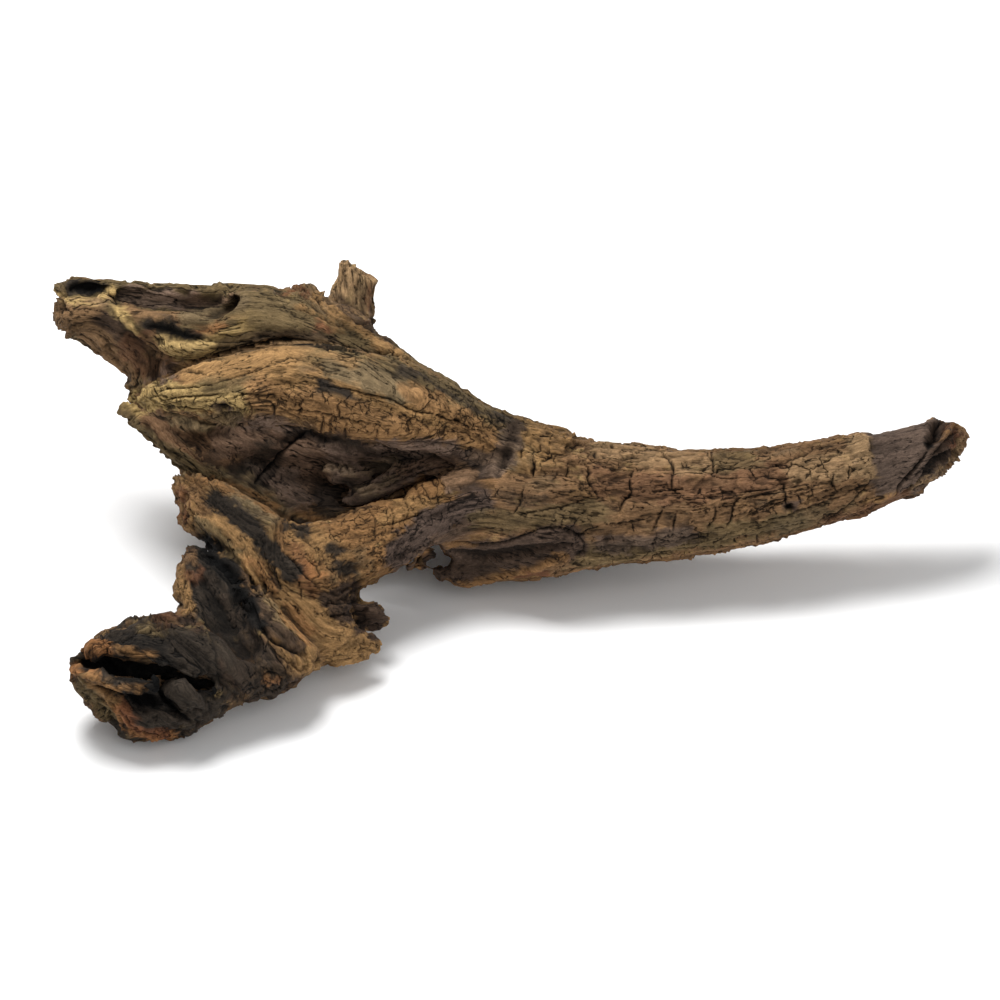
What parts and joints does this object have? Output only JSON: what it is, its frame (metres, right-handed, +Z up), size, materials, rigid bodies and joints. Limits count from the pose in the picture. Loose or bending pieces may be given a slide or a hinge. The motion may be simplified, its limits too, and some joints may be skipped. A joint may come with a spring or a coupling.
{
  "type": "aquarium driftwood",
  "caption": "Weathered driftwood with a tapering bark-covered trunk that splays into gnarled, hollowed roots, to rest on an aquarium floor.",
  "frame": {"origin": "centre of the footprint, on the surface that the wood rests on", "axes": "+Z up, +X along the trunk towards its broken tip, -Y towards the viewer of the picture"},
  "size_m": [0.459, 0.2598, 0.1342],
  "materials": {
    "wood": "weathered bark and bare wood, matt"
  },
  "bodies": {
    "root": {"driftwood": "wood"}
  },
  "joints": []
}
